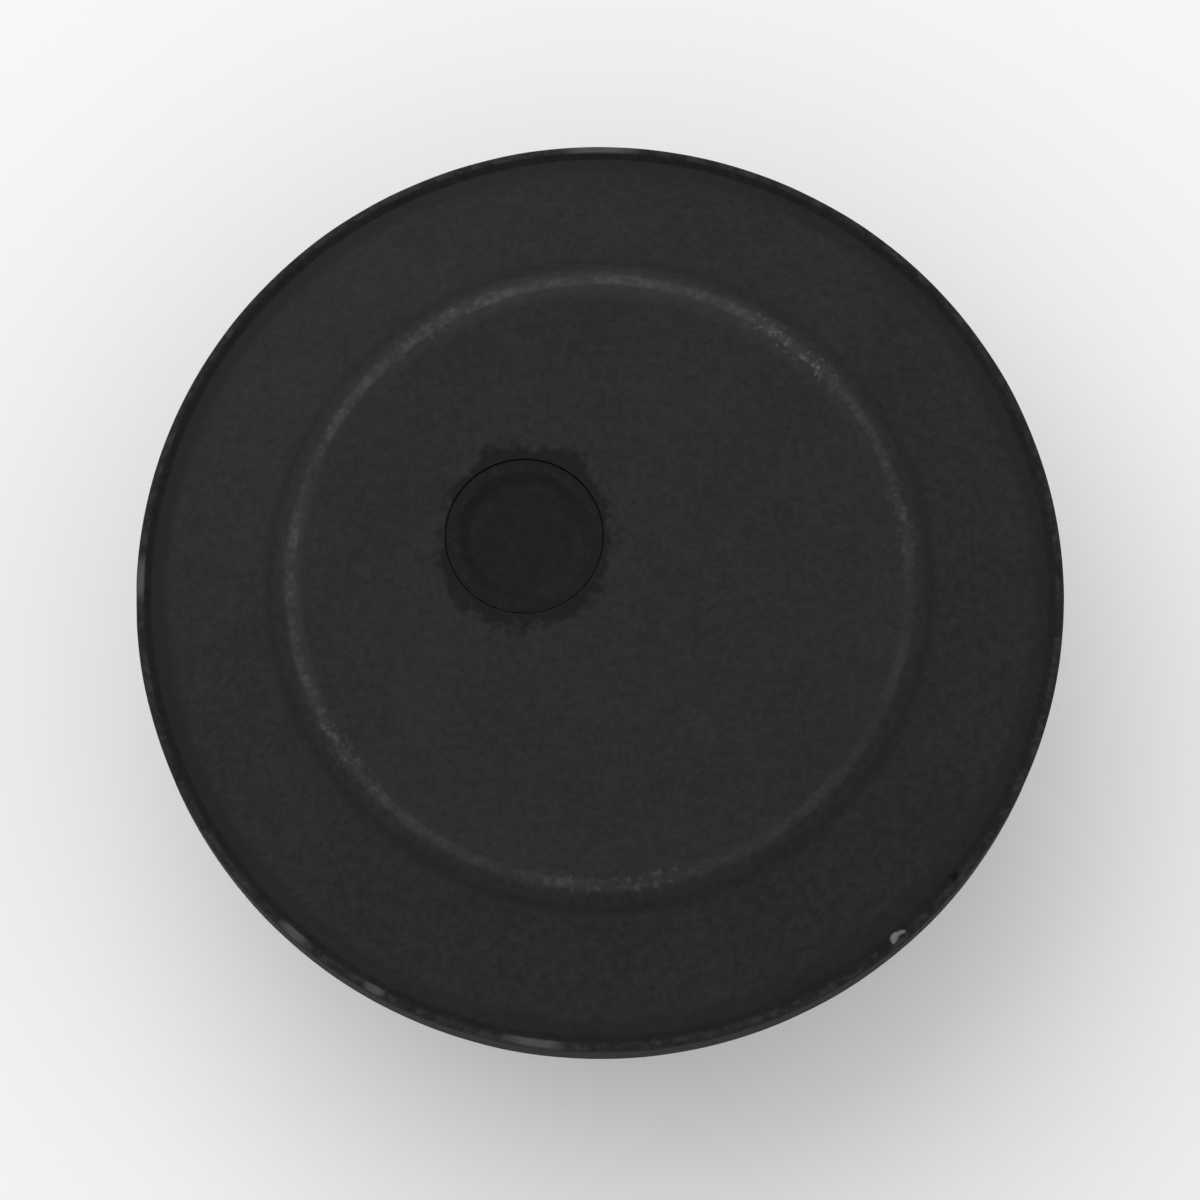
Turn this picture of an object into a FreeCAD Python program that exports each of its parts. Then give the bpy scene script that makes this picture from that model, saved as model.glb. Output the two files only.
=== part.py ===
import FreeCAD, Part
import math
import os

# Round magnetic tag detacher that drops into a hole in a counter.
# Lengths are millimetres, +Z is up, and the origin is the centre of the barrel's lower end.
# A barrel with the magnets hangs below the counter, and a moulded cap rests on top of it.
# The nest, the plunger and the magnets share one axis, which stands off the cap's centre.

# Overall sizes
RIM_RADIUS = 49.0
BARREL_RADIUS = 34.0
BARREL_BORE = 31.2
COUNTER_Z = 34.0
PLATEAU_Z = 46.0

# Top cover
COVER_RADIUS = 47.4
COVER_SKIRT_BORE = 45.3
COVER_SKIRT_Z = 34.4
COVER_SHELF_Z = 38.0
SLOPE_OUTER_RADIUS = 45.8
SLOPE_OUTER_Z = 40.5
STEP_FOOT_RADIUS = 35.0
STEP_FOOT_Z = 44.1
STEP_TOP_RADIUS = 33.3
SLOPE_WALL = 2.4
SHELF_WIDTH = 1.8
SEAT_MARGIN = 0.4
PLATEAU_WALL = 2.8
BARREL_SEAT_Z = 41.3
BARREL_SEAT_INNER = 29.0
SHOULDER_ROUND = 0.8
VALLEY_Z = 40.0
STEP_TOP_ROUND = 0.9
STEP_FOOT_ROUND = 0.5

# Edge trim, a band round the cover's skirt
TRIM_Z = 34.2
TRIM_TOP_Z = 40.3
TRIM_ROUND = 0.6
TRIM_LIP_ROUND = 0.9

# Nest
NEST_OFFSET = 9.15
NEST_ANGLE = 150.0
NEST_RADIUS = 8.3
NEST_MOUTH_ROUND = 0.2
NEST_COLLAR_Z = 41.3
NEST_TOOL_REACH = 1.0
NEST_COLLAR_RADIUS = 11.5
NEST_FLOOR_Z = 31.5
LINER_RADIUS = 10.6

# Plunger, drawn raised, with PLUNGER_TRAVEL left below it
PLUNGER_TRAVEL = 7.0
PLUNGER_RADIUS = 8.2
PLUNGER_TOP_Z = 45.8
PLUNGER_END_GAP = 0.3
PLUNGER_ROUND = 0.2
PLUNGER_DISH_RADIUS = 7.0
PLUNGER_DISH_DEPTH = 0.5
PLUNGER_POCKET_TOP_Z = 42.8
STEM_RADIUS = 2.0
STEM_TOP_Z = 44.0
STEM_LOW_Z = 12.3
STEM_GROOVE_RADIUS = 1.6
CLIP_Z = 13.6
CLIP_THICK = 0.8
CLIP_RADIUS = 4.2
CLIP_GAP_ANGLE = 50.0
BUSH_RUNNING_GAP = 0.05
STEM_PASSAGE_RADIUS = 2.6
BUSH_RADIUS = 3.5
BUSH_LENGTH = 8.0

# Spring round the stem
SPRING_RADIUS = 3.9
SPRING_WIRE_RADIUS = 0.4
SPRING_TURNS = 9
SPRING_SEAT_Z = 25.5
SPRING_WELL_RADIUS = 5.0

# Magnet stack
MAGNET_RADIUS = 20.0
MAGNET_BORE = 10.8
POLE_RADIUS = 10.5
CARRIER_LOW_Z = 5.3
CARRIER_FLOOR = 3.0
PAD_THICK = 1.5
YOKE_THICK = 5.0
LOWER_MAGNET_HEIGHT = 11.0
FLUX_RING_HEIGHT = 3.0
CLAMP_THICK = 1.6
STACK_GAP = 0.2
YOKE_BORE = 5.5
PAD_BORE = 6.0
CARRIER_FLOOR_BORE = 4.6

# Barrel, flange ring and what holds them
BARREL_NECK_RADIUS = 33.6
FLANGE_RUNNING_GAP = 0.05
BARREL_FOOT_CHAMFER = 0.6
GASKET_THICK = 0.8
GASKET_INNER = 42.4
GASKET_OUTER = 45.0
SNAP_GROOVE_RADIUS = 32.8
SNAP_RADIUS = 34.6
SNAP_THICK = 1.2
SNAP_GAP_ANGLE = 24.0
LEDGE_INNER = 28.8
LEDGE_Z = 3.3
BASE_REBATE_RADIUS = 31.8
BASE_PLATE_Z = 0.4
BASE_PLATE_RADIUS = 31.6
BASE_PLATE_THICK = 2.5
SEAL_INNER = 29.2
SEAL_OUTER = 31.4
COLUMN_RADIUS = 3.4
COLUMN_TOP_Z = 14.2
COLUMN_GAP = 0.4
COLUMN_WALL_MARGIN = 1.0

# Fasteners
SCREW_RADIUS = 1.45
SCREW_HOLE_RADIUS = 1.7
PILOT_RADIUS = 1.48
SCREW_HEAD_RADIUS = 2.8
SCREW_HEAD_HEIGHT = 1.4
SCREW_SOCKET_RADIUS = 1.15
SCREW_SOCKET_DEPTH = 0.9
SCREW_TIP = 0.6
COVER_SCREW_LENGTH = 5.8
CLAMP_SCREW_LENGTH = 9.0
BASE_SCREW_LENGTH = 10.0
PILOT_SPARE = 0.3
COVER_BOSS_RADIUS = 3.0
INSERT_RADIUS = 2.6
INSERT_BORE = 1.65
INSERT_LENGTH = 4.0
INSERT_BOSS_RADIUS = 3.2
COVER_CIRCLE_RADIUS = 38.0
COVER_SCREW_ANGLES = (90.0, 210.0, 330.0)
INSERT_CIRCLE_RADIUS = 39.5
INSERT_ANGLES = (30.0, 150.0, 270.0)
COLUMN_CIRCLE_RADIUS = 28.2
COLUMN_ANGLES = (NEST_ANGLE - 75.0, NEST_ANGLE + 75.0, NEST_ANGLE + 180.0)
CLAMP_CIRCLE_RADIUS = 26.0
CLAMP_ANGLES = (NEST_ANGLE - 100.0, NEST_ANGLE + 100.0, NEST_ANGLE + 180.0)

# Lightening pockets on the carrier's empty side: circle radius, angle from the nest, pocket radius
CARRIER_POCKETS = ((20.0, 140.0, 6.0), (20.0, 220.0, 6.0), (17.0, 180.0, 5.0))
CARRIER_POCKET_Z = 12.0

UP = FreeCAD.Vector(0, 0, 1)
ACROSS = FreeCAD.Vector(1, 0, 0)
ORIGIN = FreeCAD.Vector(0, 0, 0)
EPSILON = 0.01


def polar(radius, angle):
    """The point at this radius and angle in degrees, as a vector in the plane z = 0."""
    turn = math.radians(angle)
    return FreeCAD.Vector(radius * math.cos(turn), radius * math.sin(turn), 0)


NEST = polar(NEST_OFFSET, NEST_ANGLE)


def rounded_edges(corners):
    """The edges of a closed outline in the XZ plane, from (radius, z) or (radius, z, rounding) corners."""
    points = [FreeCAD.Vector(corner[0], 0, corner[1]) for corner in corners]
    sizes = [corner[2] if len(corner) > 2 else 0 for corner in corners]
    edges = []
    tangents = []
    for index, point in enumerate(points):
        before = (points[index - 1] - point).normalize()
        after = (points[(index + 1) % len(points)] - point).normalize()
        half = before.getAngle(after) / 2
        setback = sizes[index] / math.tan(half)
        tangents.append((point + before * setback, point + after * setback))
        if sizes[index]:
            inward = (before + after).normalize()
            middle = point + inward * (sizes[index] / math.sin(half) - sizes[index])
            edges.append(Part.Arc(tangents[-1][0], middle, tangents[-1][1]).toShape())
    for index in range(len(points)):
        start = tangents[index][1]
        end = tangents[(index + 1) % len(points)][0]
        edges.append(Part.makeLine(start, end))
    return edges


def turned(corners, centre=ORIGIN):
    """A solid turned about a vertical axis from a closed outline of corners."""
    wire = Part.Wire(Part.__sortEdges__(rounded_edges(corners)))
    solid = Part.Face(wire).revolve(ORIGIN, UP, 360)
    solid.translate(centre)
    return solid


def ring(outer, inner, low, high, centre=ORIGIN):
    """A flat ring or, with an inner radius of 0, a disc."""
    return turned([(inner, low), (outer, low), (outer, high), (inner, high)], centre)


def cut_sector(shape, reach, angle, low, high):
    """Open a gap of this angle in a ring, centred on +X."""
    half = math.radians(angle / 2)
    corners = [
        FreeCAD.Vector(0, 0, low),
        FreeCAD.Vector(reach, -reach * math.tan(half), low),
        FreeCAD.Vector(reach, reach * math.tan(half), low),
        FreeCAD.Vector(0, 0, low),
    ]
    wedge = Part.Face(Part.makePolygon(corners)).extrude(FreeCAD.Vector(0, 0, high - low))
    return shape.cut(wedge)


def countersunk_screw(length):
    """A screw standing on its head at the origin, with a hexagon socket."""
    screw = turned([
        (0, 0),
        (SCREW_HEAD_RADIUS, 0),
        (SCREW_RADIUS, SCREW_HEAD_HEIGHT),
        (SCREW_RADIUS, length - SCREW_TIP),
        (SCREW_RADIUS - SCREW_TIP, length),
        (0, length),
    ])
    corners = [polar(SCREW_SOCKET_RADIUS, 60 * step) for step in range(7)]
    socket = Part.Face(Part.makePolygon(corners)).extrude(UP * SCREW_SOCKET_DEPTH)
    return screw.cut(socket)


def screw_hole(depth):
    """The countersunk clearance hole for a screw standing on its head at the origin."""
    return turned([
        (0, -EPSILON),
        (SCREW_HEAD_RADIUS, -EPSILON),
        (SCREW_HEAD_RADIUS, 0),
        (SCREW_HOLE_RADIUS, SCREW_HEAD_HEIGHT),
        (SCREW_HOLE_RADIUS, depth),
        (0, depth),
    ])


def copies(shape, radius, angles, z, upside_down=False):
    """Copies of a shape on a circle, each turned to its own angle."""
    made = []
    for angle in angles:
        copy = shape.copy()
        if upside_down:
            copy.rotate(ORIGIN, ACROSS, 180)
        copy.rotate(ORIGIN, UP, angle)
        copy.translate(polar(radius, angle) + FreeCAD.Vector(0, 0, z))
        made.append(copy)
    return made


def slope_z(radius):
    """Height of the cover's sloping flange at this radius."""
    share = (SLOPE_OUTER_RADIUS - radius) / (SLOPE_OUTER_RADIUS - STEP_FOOT_RADIUS)
    return SLOPE_OUTER_Z + share * (STEP_FOOT_Z - SLOPE_OUTER_Z)


# Heights that follow from the stack and the counter
FLANGE_LOW_Z = COUNTER_Z + GASKET_THICK
FLANGE_TOP_Z = COVER_SHELF_Z
PAD_Z = CARRIER_LOW_Z + CARRIER_FLOOR
YOKE_Z = PAD_Z + PAD_THICK
LOWER_MAGNET_Z = YOKE_Z + YOKE_THICK
FLUX_RING_Z = LOWER_MAGNET_Z + LOWER_MAGNET_HEIGHT
UPPER_MAGNET_Z = FLUX_RING_Z + FLUX_RING_HEIGHT
CLAMP_Z = BARREL_SEAT_Z - CLAMP_THICK
PLATEAU_LOW_Z = PLATEAU_Z - PLATEAU_WALL
PLUNGER_LOW_Z = NEST_FLOOR_Z + PLUNGER_TRAVEL + PLUNGER_END_GAP


def top_cover():
    """Moulded cap: skirt, sloping flange, step and plateau, with a collar round the nest."""
    shelf_inner = COVER_SKIRT_BORE - SHELF_WIDTH
    seat_outer = STEP_FOOT_RADIUS - SEAT_MARGIN
    cover = turned([
        (0, PLATEAU_Z),
        (STEP_TOP_RADIUS, PLATEAU_Z, STEP_TOP_ROUND),
        (STEP_FOOT_RADIUS, STEP_FOOT_Z, STEP_FOOT_ROUND),
        (SLOPE_OUTER_RADIUS, SLOPE_OUTER_Z, SHOULDER_ROUND),
        (COVER_RADIUS, VALLEY_Z),
        (COVER_RADIUS, COVER_SKIRT_Z),
        (COVER_SKIRT_BORE, COVER_SKIRT_Z),
        (COVER_SKIRT_BORE, COVER_SHELF_Z),
        (shelf_inner, COVER_SHELF_Z),
        (shelf_inner, slope_z(shelf_inner) - SLOPE_WALL),
        (seat_outer, BARREL_SEAT_Z),
        (BARREL_SEAT_INNER, BARREL_SEAT_Z),
        (BARREL_SEAT_INNER, PLATEAU_LOW_Z),
        (0, PLATEAU_LOW_Z),
    ])
    cover = cover.fuse(ring(NEST_COLLAR_RADIUS, 0, NEST_COLLAR_Z, PLATEAU_Z - NEST_MOUTH_ROUND, NEST))
    boss = ring(COVER_BOSS_RADIUS, 0, COVER_SHELF_Z, slope_z(COVER_CIRCLE_RADIUS) - SLOPE_WALL / 2)
    cover = cover.fuse(copies(boss, COVER_CIRCLE_RADIUS, COVER_SCREW_ANGLES, 0))
    pilot_top = FLANGE_LOW_Z + COVER_SCREW_LENGTH + PILOT_SPARE
    pilot = ring(PILOT_RADIUS, 0, COVER_SHELF_Z - EPSILON, pilot_top)
    cover = cover.cut(copies(pilot, COVER_CIRCLE_RADIUS, COVER_SCREW_ANGLES, 0))
    return cover.cut(nest_mouth())


def nest_mouth():
    """The hole through the plateau, widening in a quarter round at its mouth."""
    wide = NEST_RADIUS + 2 * NEST_MOUTH_ROUND
    low = NEST_COLLAR_Z - NEST_TOOL_REACH
    high = PLATEAU_Z + NEST_TOOL_REACH
    return turned([
        (0, low),
        (NEST_RADIUS, low),
        (NEST_RADIUS, PLATEAU_Z, NEST_MOUTH_ROUND),
        (wide, PLATEAU_Z),
        (wide, high),
        (0, high),
    ], NEST)


def edge_trim():
    """Band round the skirt, whose rounded top is the rim's lip, across a shallow valley."""
    return turned([
        (COVER_RADIUS, TRIM_Z),
        (RIM_RADIUS, TRIM_Z, TRIM_ROUND),
        (RIM_RADIUS, TRIM_TOP_Z, TRIM_LIP_ROUND),
        (COVER_RADIUS, TRIM_TOP_Z, TRIM_ROUND),
    ])


def plunger_cap():
    """Dished head that fills the nest's mouth when raised, hollow below for the spring."""
    dish_floor_radius = PLUNGER_DISH_RADIUS - 2 * PLUNGER_DISH_DEPTH
    head = turned([
        (0, PLUNGER_POCKET_TOP_Z),
        (SPRING_WELL_RADIUS, PLUNGER_POCKET_TOP_Z),
        (SPRING_WELL_RADIUS, PLUNGER_LOW_Z),
        (PLUNGER_RADIUS, PLUNGER_LOW_Z),
        (PLUNGER_RADIUS, PLUNGER_TOP_Z, PLUNGER_ROUND),
        (PLUNGER_DISH_RADIUS, PLUNGER_TOP_Z),
        (dish_floor_radius, PLUNGER_TOP_Z - PLUNGER_DISH_DEPTH),
        (0, PLUNGER_TOP_Z - PLUNGER_DISH_DEPTH),
    ], NEST)
    return head.cut(ring(STEM_RADIUS, 0, PLUNGER_POCKET_TOP_Z - EPSILON, STEM_TOP_Z, NEST))


def plunger_stem():
    """Steel pin fixed in the head, with a groove for the clip."""
    stem = ring(STEM_RADIUS, 0, STEM_LOW_Z, STEM_TOP_Z, NEST)
    groove = ring(STEM_RADIUS + EPSILON, STEM_GROOVE_RADIUS, CLIP_Z, CLIP_Z + CLIP_THICK, NEST)
    return stem.cut(groove)


def stem_clip():
    """Open clip in the stem's groove, which stops the plunger at the top of its travel."""
    clip = ring(CLIP_RADIUS, STEM_GROOVE_RADIUS, CLIP_Z, CLIP_Z + CLIP_THICK)
    clip = cut_sector(clip, 2 * CLIP_RADIUS, CLIP_GAP_ANGLE, CLIP_Z - EPSILON, CLIP_Z + CLIP_THICK + EPSILON)
    clip.translate(NEST)
    return clip


def plunger_spring():
    """Coil spring from its seat in the pole piece to the pocket under the plunger's head."""
    low = SPRING_SEAT_Z + SPRING_WIRE_RADIUS
    height = PLUNGER_POCKET_TOP_Z - SPRING_WIRE_RADIUS - low
    line = Part.makeLongHelix(height / SPRING_TURNS, height, SPRING_RADIUS)
    start = ACROSS * SPRING_RADIUS
    section = Part.makeCircle(SPRING_WIRE_RADIUS, start, FreeCAD.Vector(0, 1, 0))
    coil = Part.Wire(line.Edges).makePipeShell([Part.Wire(section)], True, True)
    coil.translate(NEST + FreeCAD.Vector(0, 0, low))
    return coil


def stem_bush():
    """Bronze bush in the foot of the pole piece, a running fit on the stem."""
    top = LOWER_MAGNET_Z + BUSH_LENGTH
    return ring(BUSH_RADIUS, STEM_RADIUS + BUSH_RUNNING_GAP, LOWER_MAGNET_Z, top, NEST)


def pole_piece():
    """Steel core under the nest, bored for the bush, the stem and the spring."""
    bush_top = LOWER_MAGNET_Z + BUSH_LENGTH
    return turned([
        (BUSH_RADIUS, LOWER_MAGNET_Z),
        (POLE_RADIUS, LOWER_MAGNET_Z),
        (POLE_RADIUS, NEST_FLOOR_Z),
        (SPRING_WELL_RADIUS, NEST_FLOOR_Z),
        (SPRING_WELL_RADIUS, SPRING_SEAT_Z),
        (STEM_PASSAGE_RADIUS, SPRING_SEAT_Z),
        (STEM_PASSAGE_RADIUS, bush_top),
        (BUSH_RADIUS, bush_top),
    ], NEST)


def magnet_carrier():
    """Moulded puck that fills the barrel and holds the magnet stack off its centre."""
    carrier = ring(BARREL_BORE - STACK_GAP, 0, CARRIER_LOW_Z, CLAMP_Z)
    carrier = carrier.cut(ring(MAGNET_RADIUS + STACK_GAP, 0, PAD_Z, CLAMP_Z + EPSILON, NEST))
    carrier = carrier.cut(ring(CARRIER_FLOOR_BORE, 0, CARRIER_LOW_Z - EPSILON, PAD_Z + EPSILON, NEST))
    notch = ring(COLUMN_RADIUS + COLUMN_GAP, 0, CARRIER_LOW_Z - EPSILON, COLUMN_TOP_Z + COLUMN_GAP)
    carrier = carrier.cut(copies(notch, COLUMN_CIRCLE_RADIUS, COLUMN_ANGLES, 0))
    pilot_low = BARREL_SEAT_Z - CLAMP_SCREW_LENGTH - PILOT_SPARE
    pilot = ring(PILOT_RADIUS, 0, pilot_low, CLAMP_Z + EPSILON)
    carrier = carrier.cut(copies(pilot, CLAMP_CIRCLE_RADIUS, CLAMP_ANGLES, 0))
    for circle, angle, radius in CARRIER_POCKETS:
        pocket = ring(radius, 0, CARRIER_POCKET_Z, CLAMP_Z + EPSILON)
        carrier = carrier.cut(copies(pocket, circle, [NEST_ANGLE + angle], 0))
    return carrier


def clamp_plate():
    """Disc screwed to the carrier, which holds down the upper magnet."""
    plate = ring(BARREL_BORE - STACK_GAP, 0, CLAMP_Z, BARREL_SEAT_Z)
    plate = plate.cut(ring(MAGNET_BORE, 0, CLAMP_Z - EPSILON, BARREL_SEAT_Z + EPSILON, NEST))
    holes = copies(screw_hole(CLAMP_THICK + EPSILON), CLAMP_CIRCLE_RADIUS, CLAMP_ANGLES, BARREL_SEAT_Z, True)
    return plate.cut(holes)


def barrel():
    """Plain tube with a neck for the flange ring, and columns inside for the base screws."""
    tube = turned([
        (BASE_REBATE_RADIUS, 0),
        (BARREL_RADIUS - BARREL_FOOT_CHAMFER, 0),
        (BARREL_RADIUS, BARREL_FOOT_CHAMFER),
        (BARREL_RADIUS, FLANGE_LOW_Z),
        (BARREL_NECK_RADIUS, FLANGE_LOW_Z),
        (BARREL_NECK_RADIUS, FLANGE_TOP_Z),
        (SNAP_GROOVE_RADIUS, FLANGE_TOP_Z),
        (SNAP_GROOVE_RADIUS, FLANGE_TOP_Z + SNAP_THICK),
        (BARREL_NECK_RADIUS, FLANGE_TOP_Z + SNAP_THICK),
        (BARREL_NECK_RADIUS, BARREL_SEAT_Z),
        (BARREL_BORE, BARREL_SEAT_Z),
        (BARREL_BORE, CARRIER_LOW_Z),
        (LEDGE_INNER, CARRIER_LOW_Z),
        (LEDGE_INNER, LEDGE_Z),
        (BASE_REBATE_RADIUS, LEDGE_Z),
    ])
    column = ring(COLUMN_RADIUS, 0, LEDGE_Z, COLUMN_TOP_Z)
    columns = copies(column, COLUMN_CIRCLE_RADIUS, COLUMN_ANGLES, 0)
    inside = ring(BARREL_RADIUS - COLUMN_WALL_MARGIN, 0, LEDGE_Z, COLUMN_TOP_Z)
    tube = tube.fuse([shape.common(inside) for shape in columns])
    pilot = ring(PILOT_RADIUS, 0, LEDGE_Z - EPSILON, BASE_PLATE_Z + BASE_SCREW_LENGTH + PILOT_SPARE)
    return tube.cut(copies(pilot, COLUMN_CIRCLE_RADIUS, COLUMN_ANGLES, 0)).removeSplitter()


def mounting_flange():
    """Ring inside the cap, with bosses for the inserts and holes for the cover screws."""
    bore_radius = BARREL_NECK_RADIUS + FLANGE_RUNNING_GAP
    plate = ring(COVER_SKIRT_BORE - STACK_GAP, bore_radius, FLANGE_LOW_Z, FLANGE_TOP_Z)
    boss = ring(INSERT_BOSS_RADIUS, 0, FLANGE_TOP_Z - EPSILON, FLANGE_LOW_Z + INSERT_LENGTH)
    plate = plate.fuse(copies(boss, INSERT_CIRCLE_RADIUS, INSERT_ANGLES, 0))
    bore = ring(INSERT_RADIUS, 0, FLANGE_LOW_Z - EPSILON, FLANGE_LOW_Z + INSERT_LENGTH + EPSILON)
    plate = plate.cut(copies(bore, INSERT_CIRCLE_RADIUS, INSERT_ANGLES, 0))
    holes = copies(screw_hole(FLANGE_TOP_Z), COVER_CIRCLE_RADIUS, COVER_SCREW_ANGLES, FLANGE_LOW_Z)
    return plate.cut(holes)


def barrel_clip():
    """Snap ring in the barrel's groove, resting on the flange ring."""
    top = FLANGE_TOP_Z + SNAP_THICK
    clip = ring(SNAP_RADIUS, SNAP_GROOVE_RADIUS, FLANGE_TOP_Z, top)
    return cut_sector(clip, 2 * SNAP_RADIUS, SNAP_GAP_ANGLE, FLANGE_TOP_Z - EPSILON, top + EPSILON)


def base_plate():
    """Steel disc set into the barrel's lower end."""
    top = BASE_PLATE_Z + BASE_PLATE_THICK
    plate = ring(BASE_PLATE_RADIUS, 0, BASE_PLATE_Z, top)
    return plate.cut(copies(screw_hole(top), COLUMN_CIRCLE_RADIUS, COLUMN_ANGLES, BASE_PLATE_Z))


def base_seal():
    """Flat ring between the base plate and the barrel's ledge, notched round the columns."""
    low = BASE_PLATE_Z + BASE_PLATE_THICK
    seal = ring(SEAL_OUTER, SEAL_INNER, low, LEDGE_Z)
    notch = ring(SCREW_HEAD_RADIUS, 0, low - EPSILON, LEDGE_Z + EPSILON)
    return seal.cut(copies(notch, COLUMN_CIRCLE_RADIUS, COLUMN_ANGLES, 0))


def screw_group(length, radius, angles, z, upside_down=False):
    """The screws on one circle, as separate solids in one node."""
    return Part.makeCompound(copies(countersunk_screw(length), radius, angles, z, upside_down))


def counter_inserts():
    """Three threaded inserts for the screws that come up through the counter."""
    insert = ring(INSERT_RADIUS, INSERT_BORE, FLANGE_LOW_Z, FLANGE_LOW_Z + INSERT_LENGTH)
    return Part.makeCompound(copies(insert, INSERT_CIRCLE_RADIUS, INSERT_ANGLES, 0))


NODES = {
    "top_cover": top_cover(),
    "edge_trim": edge_trim(),
    "nest_liner": ring(LINER_RADIUS, NEST_RADIUS, NEST_FLOOR_Z, NEST_COLLAR_Z, NEST),
    "plunger_cap": plunger_cap(),
    "plunger_stem": plunger_stem(),
    "stem_clip": stem_clip(),
    "plunger_spring": plunger_spring(),
    "stem_bush": stem_bush(),
    "pole_piece": pole_piece(),
    "upper_magnet": ring(MAGNET_RADIUS, MAGNET_BORE, UPPER_MAGNET_Z, CLAMP_Z, NEST),
    "flux_ring": ring(MAGNET_RADIUS, MAGNET_BORE, FLUX_RING_Z, UPPER_MAGNET_Z, NEST),
    "lower_magnet": ring(MAGNET_RADIUS, MAGNET_BORE, LOWER_MAGNET_Z, FLUX_RING_Z, NEST),
    "back_yoke": ring(MAGNET_RADIUS, YOKE_BORE, YOKE_Z, LOWER_MAGNET_Z, NEST),
    "damping_pad": ring(MAGNET_RADIUS, PAD_BORE, PAD_Z, YOKE_Z, NEST),
    "magnet_carrier": magnet_carrier(),
    "clamp_plate": clamp_plate(),
    "clamp_screws": screw_group(CLAMP_SCREW_LENGTH, CLAMP_CIRCLE_RADIUS, CLAMP_ANGLES, BARREL_SEAT_Z, True),
    "barrel": barrel(),
    "mounting_flange": mounting_flange(),
    "barrel_clip": barrel_clip(),
    "cover_screws": screw_group(COVER_SCREW_LENGTH, COVER_CIRCLE_RADIUS, COVER_SCREW_ANGLES, FLANGE_LOW_Z),
    "counter_inserts": counter_inserts(),
    "counter_gasket": ring(GASKET_OUTER, GASKET_INNER, COUNTER_Z, FLANGE_LOW_Z),
    "base_plate": base_plate(),
    "base_seal": base_seal(),
    "base_screws": screw_group(BASE_SCREW_LENGTH, COLUMN_CIRCLE_RADIUS, COLUMN_ANGLES, BASE_PLATE_Z),
}

os.makedirs("parts", exist_ok=True)
for name, shape in NODES.items():
    shape.exportStep(f"parts/{name}.step")
    print(f"{name}: {len(shape.Solids)} solids, {shape.Volume:.0f} mm3, valid {shape.isValid()}")
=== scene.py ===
import bpy
import bmesh
import math
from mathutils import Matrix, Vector, noise


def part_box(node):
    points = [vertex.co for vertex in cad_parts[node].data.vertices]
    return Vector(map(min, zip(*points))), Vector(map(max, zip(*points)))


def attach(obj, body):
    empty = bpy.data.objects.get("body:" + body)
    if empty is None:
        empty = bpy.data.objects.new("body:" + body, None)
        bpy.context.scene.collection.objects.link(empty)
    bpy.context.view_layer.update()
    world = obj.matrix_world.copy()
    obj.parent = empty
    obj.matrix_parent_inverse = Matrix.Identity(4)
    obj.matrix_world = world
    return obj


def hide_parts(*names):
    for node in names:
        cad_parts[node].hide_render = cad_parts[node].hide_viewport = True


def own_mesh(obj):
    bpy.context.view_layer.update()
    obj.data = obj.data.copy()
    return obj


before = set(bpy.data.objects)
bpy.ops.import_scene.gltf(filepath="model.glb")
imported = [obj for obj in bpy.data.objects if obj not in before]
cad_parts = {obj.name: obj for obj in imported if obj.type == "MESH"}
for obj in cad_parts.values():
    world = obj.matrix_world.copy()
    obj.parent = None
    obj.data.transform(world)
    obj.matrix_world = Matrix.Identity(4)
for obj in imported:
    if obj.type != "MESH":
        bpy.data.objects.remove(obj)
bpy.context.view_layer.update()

# A round magnetic tag detacher: a charcoal cap with a low plateau and an off-centre nest,
# on a barrel of magnets. All lengths are metres, in the row frame.

MM = 0.001

# Places and sizes read from the frame
cover_low, cover_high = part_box("top_cover")
trim_low, trim_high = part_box("edge_trim")
liner_low, liner_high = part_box("nest_liner")
plunger_low, plunger_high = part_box("plunger_cap")
barrel_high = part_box("barrel")[1]
flange_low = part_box("mounting_flange")[0]
spring_low, spring_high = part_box("plunger_spring")

RIM_RADIUS = 49.0 * MM
COVER_RADIUS = 47.4 * MM
SKIRT_BORE = 45.3 * MM
FLANGE_EDGE = 45.8 * MM
STEP_FOOT = 35.0 * MM
STEP_TOP = 33.3 * MM
NEST_RADIUS = 8.3 * MM
NEST_MOUTH_ROUND = 0.1 * MM
COLLAR_RADIUS = 11.5 * MM
SEAT_INNER = 29.0 * MM
SHELF_WIDTH = 1.8 * MM

PLUNGER_GAP = 0.03 * MM
PLUNGER_WELL = 5.0 * MM
STEM_RADIUS = 2.0 * MM
STEM_SOCKET = 1.2 * MM

COVER_SCREW_CIRCLE = 38.0 * MM
COVER_SCREW_ANGLES = (90, 210, 330)
BOSS_RADIUS = 3.0 * MM
BOSS_HEIGHT = 3.5 * MM
PILOT_RADIUS = 1.48 * MM
PILOT_DEPTH = 2.9 * MM

INSERT_CIRCLE = 39.5 * MM
INSERT_ANGLES = (30, 150, 270)
INSERT_RADIUS = 2.6 * MM
INSERT_BORE = 1.65 * MM
THREAD_ROOT = 1.97 * MM
THREAD_PITCH = 0.7 * MM

PLATEAU_Z = cover_high.z
PLATEAU_LOW_Z = PLATEAU_Z - 2.8 * MM
STEP_FOOT_Z = PLATEAU_Z - 1.9 * MM
FLANGE_EDGE_Z = trim_high.z + 0.2 * MM
VALLEY_Z = trim_high.z - 0.3 * MM
SHELF_Z = flange_low.z + 3.2 * MM
COLLAR_Z = liner_high.z
NEST = (liner_low + liner_high) / 2
NEST.z = 0
STAIN_SHIFT = Vector((0, 1.0 * MM, 0))

AROUND = 540
ARC_STEPS = 6


# ---------------------------------------------------------------- mesh helpers

def at_bearing(degrees, radius, z=0.0):
    """A point at this bearing and radius from the axis."""
    turn = math.radians(degrees)
    return Vector((radius * math.cos(turn), radius * math.sin(turn), z))


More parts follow.
